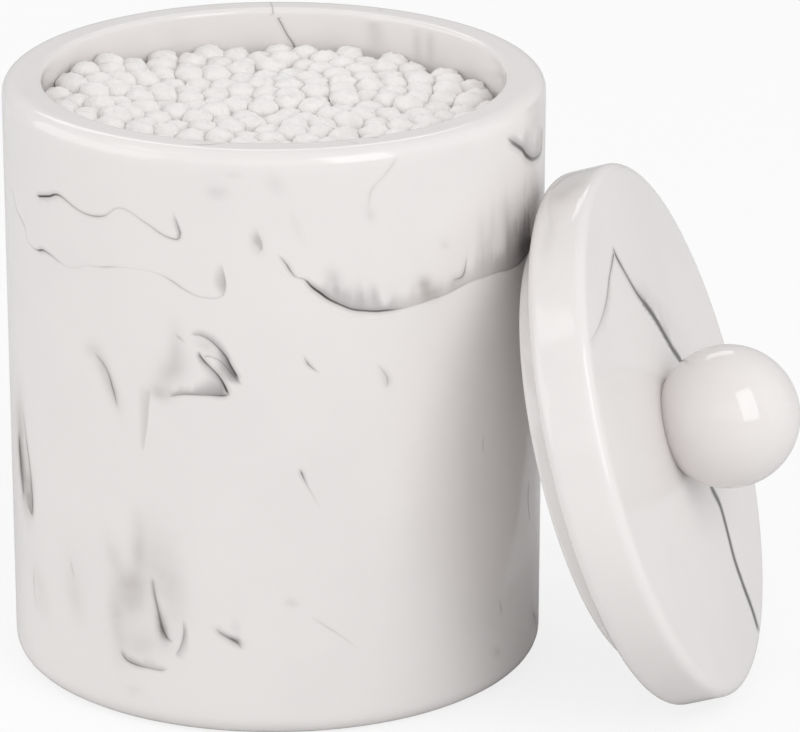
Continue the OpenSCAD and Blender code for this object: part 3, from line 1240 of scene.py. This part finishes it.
@dataclass
class Jar:
    """The cast jar: a wall with a slight draft, a thick floor and a rounded rim."""

    photo: Photo
    wall: float = 6.0 * MM
    floor: float = 9.6 * MM
    draft: float = 0.5 * MM
    rim_round: float = 2.4 * MM
    mouth_round: float = 0.8 * MM
    foot_round: float = 3.0 * MM
    cavity_round: float = 2.0 * MM
    sides: int = 384
    wall_rows: int = 118
    fine_depth: float = 14.0 * MM
    fine_rows: int = 16
    flat_rows: int = 3
    wall_slack: float = 0.6 * MM
    back_squeeze: Point = (0.92, 0.94)
    back_top: float = 0.97
    radius: float = field(init=False)
    height: float = field(init=False)

    def __post_init__(self) -> None:
        """Reads the jar's radius and height from the frame."""
        low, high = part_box("jar")
        self.radius = (high.x - low.x) / 2
        self.height = high.z

    @property
    def mouth(self) -> float:
        """The radius of the hollow."""
        return self.radius - self.wall

    def wall_at(self, height: float) -> float:
        """The outer radius at a height.

        Args:
            height: the height.

        Returns:
            The radius.
        """
        return self.radius - self.draft * (1 - height / self.height)

    def build(self) -> None:
        """Models the jar and dresses it."""
        piece = open_disc(self.sides, self.radius, self.height)
        pick(piece, "FACE", lambda middle, normal: normal.z < -FLAT_FACE)
        shrink = self.wall_at(0) / self.radius
        bpy.ops.transform.resize(value=(shrink, shrink, 1), center_override=(0, 0, 0))
        pick(piece, "FACE", lambda middle, normal: normal.z > FLAT_FACE)
        bpy.ops.mesh.inset(thickness=self.wall, use_even_offset=False)
        for drop in (self.fine_depth, self.height - self.floor - self.fine_depth):
            bpy.ops.mesh.extrude_region_move(TRANSFORM_OT_translate={"value": (0, 0, -drop)})
        round_rings(piece, ((self.radius, self.height, self.rim_round, 7),
                            (self.mouth, self.height, self.mouth_round, 6),
                            (self.mouth, self.floor, self.cavity_round, 4),
                            (self.wall_at(0), 0.0, self.foot_round, 7)))
        pick(piece, "EDGE", is_upright(self.radius, self.foot_round * ROUNDED,
                                       self.height - self.rim_round * ROUNDED, self.wall_slack))
        bpy.ops.mesh.subdivide(number_cuts=self.wall_rows)
        pick(piece, "EDGE", is_upright(self.mouth, self.height - self.fine_depth - MM,
                                       self.height - self.mouth_round * ROUNDED))
        bpy.ops.mesh.subdivide(number_cuts=self.fine_rows)
        least = 0.5 * (self.wall - self.rim_round - self.mouth_round)
        pick(piece, "EDGE", lambda a, b: min(a.z, b.z) > self.height - 0.01 * MM
             and abs(math.hypot(a.x, a.y) - math.hypot(b.x, b.y)) > least)
        bpy.ops.mesh.subdivide(number_cuts=self.flat_rows)
        bpy.ops.object.mode_set(mode="OBJECT")
        finish_shape(piece, "jar_body")
        self.ink(piece)
        dress(piece, InkedResin().build())
        declare(piece, "jar")

    def lay_outer(self, x: float, y: float) -> Point:
        """Where a point of the photograph lies on the outer wall.

        Args:
            x: pixels from the left.
            y: pixels from the top.

        Returns:
            The length round the wall and the height.
        """
        radius = self.radius
        for _ in range(3):
            spot = Sight(self.photo).on_wall(x, y, radius)
            radius = self.wall_at(min(max(spot.z, 0.0), self.height))
        return self.radius * math.atan2(spot.x, -spot.y), spot.z

    def lay_inner(self, x: float, y: float) -> Point:
        """Where a point of the photograph lies on the far inner wall.

        Args:
            x: pixels from the left.
            y: pixels from the top.

        Returns:
            The length round the wall and the height.
        """
        spot = Sight(self.photo).on_wall(x, y, self.mouth, near=False)
        return self.mouth * math.atan2(spot.x, -spot.y), spot.z

    def charts(self) -> tuple[Chart, Chart, Chart]:
        """The charts of the outer wall, the inner wall and the rim.

        Returns:
            The three charts.
        """
        def round_map(radius: float) -> Callable[[np.ndarray], np.ndarray]:
            """The map of a round wall: the length round it and the height."""
            return lambda p: np.stack([radius * np.arctan2(p[:, 0], -p[:, 1]), p[:, 2]], 1)

        def off_axis(p: np.ndarray) -> np.ndarray:
            """How far points lie from the jar's axis."""
            return np.hypot(p[:, 0], p[:, 1])

        middle_r = (self.radius + self.mouth) / 2
        flat = self.height - 0.4 * self.rim_round
        outer = Chart(Zone.OUTER_WALL, round_map(self.radius), self.lay_outer,
                      lambda p: (off_axis(p) > middle_r) & (p[:, 2] <= flat), math.tau * self.radius)
        inner = Chart(Zone.INNER_WALL, round_map(self.mouth), self.lay_inner,
                      lambda p: (off_axis(p) <= middle_r) & (p[:, 2] <= flat), math.tau * self.mouth)
        rim = Chart(Zone.RIM, lambda p: p[:, :2].copy(),
                    lambda x, y: Sight(self.photo).on_level(x, y, self.height), lambda p: p[:, 2] > flat)
        return outer, inner, rim

    def ink(self, piece: bpy.types.Object) -> None:
        """Lays the ink on the jar, with a like pattern on the side that the photograph hides.

        Args:
            piece: the jar.
        """
        outer, inner, rim = self.charts()
        veins = [outer.trace(stroke) for stroke in OUTER_STROKES]
        veils = [outer.shade(veil) for veil in OUTER_VEILS]
        patches = [outer.patch(cloud) for cloud in OUTER_CLOUDS]
        far_side = np.array([math.pi * self.radius, self.height * self.back_top])
        flip = -np.array(self.back_squeeze)

        def behind(places: np.ndarray) -> np.ndarray:
            """Map places turned round to the far side."""
            return far_side + places * flip

        for traces in (veins, veils):
            traces += [Trace(behind(t.path), t.ink, t.width) for t in list(traces)]
        patches += [Patch(behind(p.middle), p.long_axis * flip, p.short_axis * flip, p.strength, p.streaked)
                    for p in list(patches)]
        InkPainter().paint(piece, (
            Wash(outer, veins, veils, patches),
            Wash(inner, [inner.trace(s) for s in INNER_STROKES], [], [inner.patch(c) for c in INNER_CLOUDS]),
            Wash(rim, [rim.trace(s) for s in RIM_STROKES], [], []),
        ))


@dataclass
class Lid:
    """The lid: a thick disc with a plug under it, built upright and then leant."""

    photo: Photo
    thickness: float = 9.2 * MM
    shoulder: float = 1.5 * MM
    edge: float = 2.0 * MM
    plug_round: float = 0.8 * MM
    plug_radius: float = 33.7 * MM
    sides: int = 320
    face_rings: int = 44
    side_rows: int = 6
    place: Matrix = field(init=False)
    radius: float = field(init=False)
    plug_height: float = field(init=False)

    def __post_init__(self) -> None:
        """Reads the lid's place and sizes from the frame."""
        low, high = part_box("knob")
        turned = Turned.of("lid", (low + high) / 2)
        self.place = turned.frame(turned.high - self.thickness)
        self.radius = turned.radius
        self.plug_height = turned.high - turned.low - self.thickness

    def build(self) -> None:
        """Models the lid and dresses it."""
        piece = open_disc(self.sides, self.radius, self.thickness)
        pick(piece, "FACE", lambda middle, normal: normal.z < -FLAT_FACE)
        bpy.ops.mesh.inset(thickness=self.radius - self.plug_radius, use_even_offset=False)
        bpy.ops.mesh.extrude_region_move(TRANSFORM_OT_translate={"value": (0, 0, -self.plug_height)})
        round_rings(piece, ((self.radius, self.thickness, self.shoulder, 7), (self.radius, 0.0, self.edge, 7),
                            (self.plug_radius, -self.plug_height, self.plug_round, 4)))
        pick(piece, "EDGE", is_upright(self.radius, self.edge * ROUNDED,
                                       self.thickness - self.shoulder * ROUNDED))
        bpy.ops.mesh.subdivide(number_cuts=self.side_rows)
        pick(piece, "FACE", lambda middle, normal: normal.z > FLAT_FACE
             and middle.z > self.thickness - 0.01 * MM and math.hypot(middle.x, middle.y) < MM)
        ring = (self.radius - self.shoulder) / (self.face_rings + 1)
        for _ in range(self.face_rings):
            bpy.ops.mesh.inset(thickness=ring, use_even_offset=False)
        bpy.ops.object.mode_set(mode="OBJECT")
        piece.matrix_world = self.place
        finish_shape(piece, "lid_disc")
        self.ink(piece)
        dress(piece, InkedResin(name="marbled_resin_lid", streak_scale=(200.0, 200.0, 200.0)).build())
        declare(piece, "lid")

    def own(self, spots: np.ndarray) -> np.ndarray:
        """Points in the lid's own frame.

        Args:
            spots: points in the object's frame.

        Returns:
            The same points in the lid's frame.
        """
        back = np.array(self.place.inverted())
        return spots @ back[:3, :3].T + back[:3, 3]

    def lay_side(self, x: float, y: float) -> Point:
        """Where a point of the photograph lies on the lid's edge.

        Args:
            x: pixels from the left.
            y: pixels from the top.

        Returns:
            The length round the edge and the place across it.
        """
        spot = Sight(self.photo, self.place).on_wall(x, y, self.radius)
        return self.radius * math.atan2(spot.y, spot.x), spot.z

    def ink(self, piece: bpy.types.Object) -> None:
        """Lays the ink on the lid.

        Args:
            piece: the lid.
        """
        edge_r = self.radius - 0.5 * self.shoulder

        def on_side(spots: np.ndarray) -> np.ndarray:
            """Which points lie on the lid's edge."""
            own = self.own(spots)
            return np.hypot(own[:, 0], own[:, 1]) > edge_r

        def side_map(spots: np.ndarray) -> np.ndarray:
            """The map of the lid's edge: the length round it and the place across it."""
            own = self.own(spots)
            return np.stack([self.radius * np.arctan2(own[:, 1], own[:, 0]), own[:, 2]], 1)

        side = Chart(Zone.LID_SIDE, side_map, self.lay_side, on_side, math.tau * self.radius)
        face = Chart(Zone.LID_FACE, lambda p: self.own(p)[:, :2],
                     lambda x, y: Sight(self.photo, self.place).on_level(x, y, self.thickness),
                     lambda p: ~on_side(p) & (self.own(p)[:, 2] > self.thickness / 2))
        InkPainter().paint(piece, (
            Wash(face, [face.trace(s) for s in LID_STROKES], [face.shade(v) for v in LID_VEILS],
                 [face.patch(c) for c in LID_CLOUDS]),
            Wash(side, [side.trace(s) for s in LID_SIDE_STROKES], [],
                 [side.patch(c) for c in LID_SIDE_CLOUDS]),
        ))


@dataclass
class Knob:
    """The plain ball that is glued on the lid."""

    lid: Lid
    radius: float = 10.85 * MM
    rise: float = 8.1 * MM
    segments: int = 128
    rings: int = 72

    def build(self) -> None:
        """Models the ball, flat where it sits on the lid, and dresses it."""
        clear_selection()
        bpy.ops.mesh.primitive_uv_sphere_add(segments=self.segments, ring_count=self.rings,
                                             radius=self.radius, location=(0, 0, self.rise))
        piece = bpy.context.object
        bpy.ops.object.transform_apply(location=True, rotation=True, scale=True)
        edit(piece)
        bpy.ops.mesh.select_all(action="SELECT")
        bpy.ops.mesh.bisect(plane_co=(0, 0, 0), plane_no=(0, 0, 1), clear_inner=True, use_fill=True)
        bpy.ops.object.mode_set(mode="OBJECT")
        piece.matrix_world = self.lid.place @ Matrix.Translation((0, 0, self.lid.thickness))
        finish_shape(piece, "knob_ball")
        dress(piece, CastResin(body=(0.805, 0.772, 0.762, 1.0), cloudy=(0.79, 0.758, 0.748, 1.0),
                               roughness=0.04).build())
        declare(piece, "knob")


@dataclass
class Swabs:
    """The bundle of swabs: soft modelled tips above, the frame's own sticks and lower tips below."""

    jar: Jar
    segments: int = 12
    rings: int = 8
    tip_radius: float = 2.0 * MM
    plump: float = 1.24
    dome: float = 0.82
    lift: float = 2.6 * MM
    lift_from: float = 12.0 * MM
    lift_over: float = 20.0 * MM
    pulls: tuple[Mark, ...] = ((-0.3, 1.6, 1.02), (-0.75, 5.0, 0.85), (-0.99, 3.2, 1.0))
    least_swell: float = 0.97
    most_swell: float = 1.04
    oval: float = 0.04
    lump: float = 0.13 * MM
    lumpy_depth: float = 6.0 * MM
    wall_gap: float = 0.05 * MM
    seed: int = 11

    def places(self) -> list[Matrix]:
        """Where each upper tip stands, read from the CAD node's separate solids.

        Returns:
            For each tip a frame with its origin at the tip's end and Z along the swab, outwards.
        """
        shape = bmesh.new()
        shape.from_mesh(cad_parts["cotton_tips_upper"].data)
        bmesh.ops.remove_doubles(shape, verts=shape.verts, dist=1e-7)
        shape.verts.ensure_lookup_table()
        seen = [False] * len(shape.verts)
        found = []
        for first in shape.verts:
            if seen[first.index]:
                continue
            seen[first.index] = True
            queue, spots = [first], []
            while queue:
                vert = queue.pop()
                spots.append(vert.co[:])
                for edge in vert.link_edges:
                    other = edge.other_vert(vert)
                    if not seen[other.index]:
                        seen[other.index] = True
                        queue.append(other)
            found.append(self.stand(np.array(spots)))
        shape.free()
        return found

    @staticmethod
    def stand(spots: np.ndarray) -> Matrix:
        """The frame of one tip.

        Args:
            spots: the points of its solid.

        Returns:
            The frame.
        """
        middle = spots.mean(0)
        axis = np.linalg.svd(spots - middle, full_matrices=False)[2][0]
        axis = axis if axis[2] > 0 else -axis
        along = (spots - middle) @ axis
        base = spots[along < along.min() + 0.3 * MM].mean(0)
        end = base + axis * (along.max() - along.min())
        turn = Vector((0, 0, 1)).rotation_difference(Vector(axis)).to_matrix().to_4x4()
        return Matrix.Translation(end) @ turn

    def model_tip(self) -> bpy.types.Object:
        """Models one tip about the origin: a round end, a belly and a narrower neck.

        Each pull moves what lies below a share of the radius down by millimetres, and scales its width.

        Returns:
            The tip, with its end at the origin.
        """
        clear_selection()
        bpy.ops.mesh.primitive_uv_sphere_add(segments=self.segments, ring_count=self.rings,
                                             radius=self.tip_radius, location=(0, 0, -self.tip_radius))
        tip = bpy.context.object
        bpy.ops.object.transform_apply(location=True, rotation=True, scale=True)
        edit(tip, "VERT")
        for share, drop, width in self.pulls:
            limit = self.tip_radius * (share - 1)
            bpy.ops.mesh.select_all(action="DESELECT")
            shape = bmesh.from_edit_mesh(tip.data)
            for vert in shape.verts:
                vert.select_set(vert.co.z < limit)
            bmesh.update_edit_mesh(tip.data)
            bpy.ops.transform.translate(value=(0, 0, -drop * MM))
            bpy.ops.transform.resize(value=(width, width, 1), center_override=(0, 0, 0))
        bpy.ops.object.mode_set(mode="OBJECT")
        return tip

    def build(self) -> None:
        """Models the upper tips, each a soft wad of its own, and dresses all of the swabs."""
        rng = np.random.default_rng(self.seed)
        pattern = self.model_tip()
        spots = np.array([v.co for v in pattern.data.vertices])
        copies = []
        for place in self.places():
            make_active(pattern)
            bpy.ops.object.duplicate(linked=False)
            tip = bpy.context.object
            turn = rng.uniform(0.0, math.tau)
            swell = self.plump * rng.uniform(self.least_swell, self.most_swell)
            oval = rng.uniform(-self.oval, self.oval)
            bend = rng.normal(0.0, self.lump, spots.shape) * (spots[:, 2:3] > -self.lumpy_depth)
            grown = spots * (swell + oval, swell - oval, 1.0) + bend
            upper = grown[:, 2] > -self.tip_radius
            grown[upper, 2] = (grown[upper, 2] + self.tip_radius) * self.dome - self.tip_radius * self.dome
            crowded = min(max((-place.translation.x - self.lift_from) / self.lift_over, 0.0), 1.0)
            grown[:, 2] += self.lift * crowded * crowded * (3 - 2 * crowded)
            spin = np.array(Matrix.Rotation(turn, 3, "Z"))
            world = np.array(place)
            moved = (grown @ spin.T) @ world[:3, :3].T + world[:3, 3]
            reach = np.hypot(moved[:, 0], moved[:, 1])
            most = self.jar.mouth - self.wall_gap
            moved[:, :2] *= np.minimum(1.0, most / np.maximum(reach, MM))[:, None]
            tip.data.vertices.foreach_set("co", moved.astype(np.float32).ravel())
            copies.append(tip)
        clear_selection()
        for tip in copies:
            tip.select_set(True)
        bpy.context.view_layer.objects.active = copies[0]
        bpy.ops.object.join()
        piece = bpy.context.object
        bpy.data.objects.remove(pattern)
        finish_shape(piece, "cotton_upper", 180.0)
        cotton = CottonWool().build()
        dress(piece, cotton)
        declare(piece, "cotton_tips_upper")
        dress(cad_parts["cotton_tips_lower"], cotton)
        dress(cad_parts["swab_sticks"], RolledPaper().build())
        log.info("swabs: %d upper tips", len(copies))


@dataclass
class SoftBox:
    """A soft studio lamp: its place round the object, its size and its strength."""

    name: str
    azimuth_deg: float
    elevation_deg: float
    distance: float
    width: float
    height: float
    watts: float

    def place(self, target: Vector) -> None:
        """Adds the lamp, turned to the object.

        Args:
            target: what it lights.
        """
        turn, rise = math.radians(self.azimuth_deg), math.radians(self.elevation_deg)
        away = Vector((math.sin(turn) * math.cos(rise), -math.cos(turn) * math.cos(rise), math.sin(rise)))
        bpy.ops.object.light_add(type="AREA", location=target + away * self.distance)
        lamp = bpy.context.object
        lamp.name = self.name
        lamp.rotation_euler = away.to_track_quat("Z", "Y").to_euler()
        lamp.data.shape = "RECTANGLE"
        lamp.data.size = self.width
        lamp.data.size_y = self.height
        lamp.data.energy = self.watts


@dataclass
class Studio:
    """A white table and background under soft lamps."""

    target: Vector = field(default_factory=lambda: Vector((0.02, 0.0, 0.045)))
    surround: float = 0.56
    table_share: float = 0.8
    table_bounce: float = 0.74
    table_seen: float = 0.9
    table_size: float = 6.0
    table_drop: float = 0.1 * MM

    def build(self) -> None:
        """Builds the table, the lamps and the surroundings."""
        self.table()
        self.world()
        lamps = (
            SoftBox("window_right", 36, 33, 0.9, 0.42, 0.75, 2.9),
            SoftBox("wall_left", -84, 18, 1.2, 1.6, 0.8, 5.3),
            SoftBox("window_left", -76, 50, 1.0, 0.36, 0.2, 0.3),
            SoftBox("wall_right", 88, 30, 1.2, 1.2, 1.4, 1.6),
            SoftBox("camera_side", -4, 27, 1.2, 1.4, 0.7, 1.45),
            SoftBox("strip_back", -169, 40, 0.9, 0.6, 0.2, 0.6),
        )
        for lamp in lamps:
            lamp.place(self.target)
        log.info("studio: %d lamps", len(lamps))

    def table(self) -> None:
        """Builds the table: one wide plane that the camera sees as white with a soft shadow."""
        clear_selection()
        bpy.ops.mesh.primitive_plane_add(size=self.table_size, location=(0, 0, -self.table_drop))
        table = bpy.context.object
        table.name = "table"
        shader = Shader("white_table")
        path = shader.tree.nodes.new("ShaderNodeLightPath")
        bounce, seen_white = ((level, level, level, 1.0) for level in (self.table_bounce, self.table_seen))
        shader.set(Base_Color=shader.mixed(path.outputs["Is Camera Ray"], bounce, seen_white),
                   Roughness=0.9, Specular_IOR_Level=0.1)
        seen = shader.math("MULTIPLY", path.outputs["Is Camera Ray"], self.table_share)
        glow = shader.node("Emission", {"Strength": 1.0})
        blend = shader.node("MixShader", {0: seen, 1: shader.surface.outputs[0], 2: glow})
        shader.put(shader.output.inputs["Surface"], blend)
        table.data.materials.append(shader.material)

    def world(self) -> None:
        """Lights the scene from all round, and shows white behind the object."""
        world = bpy.data.worlds.new("white_room")
        bpy.context.scene.world = world
        world.use_nodes = True
        tree = world.node_tree
        background = tree.nodes["Background"]
        background.inputs["Color"].default_value = (1.0, 1.0, 1.0, 1.0)
        path = tree.nodes.new("ShaderNodeLightPath")
        level = tree.nodes.new("ShaderNodeMath")
        level.operation = "MULTIPLY_ADD"
        tree.links.new(path.outputs["Is Camera Ray"], level.inputs[0])
        level.inputs[1].default_value = 1.0 - self.surround
        level.inputs[2].default_value = self.surround
        tree.links.new(level.outputs[0], background.inputs["Strength"])


def main() -> None:
    """Builds the camera, the pieces and the studio in order."""
    logging.basicConfig(level=logging.INFO, format="%(message)s")
    photo = Photo()
    photo.place()
    jar = Jar(photo)
    jar.build()
    lid = Lid(photo)
    lid.build()
    Knob(lid).build()
    Swabs(jar).build()
    Studio().build()
    bpy.context.scene.view_settings.view_transform = "Standard"
    clear_selection()


if __name__ == "__main__":
    main()
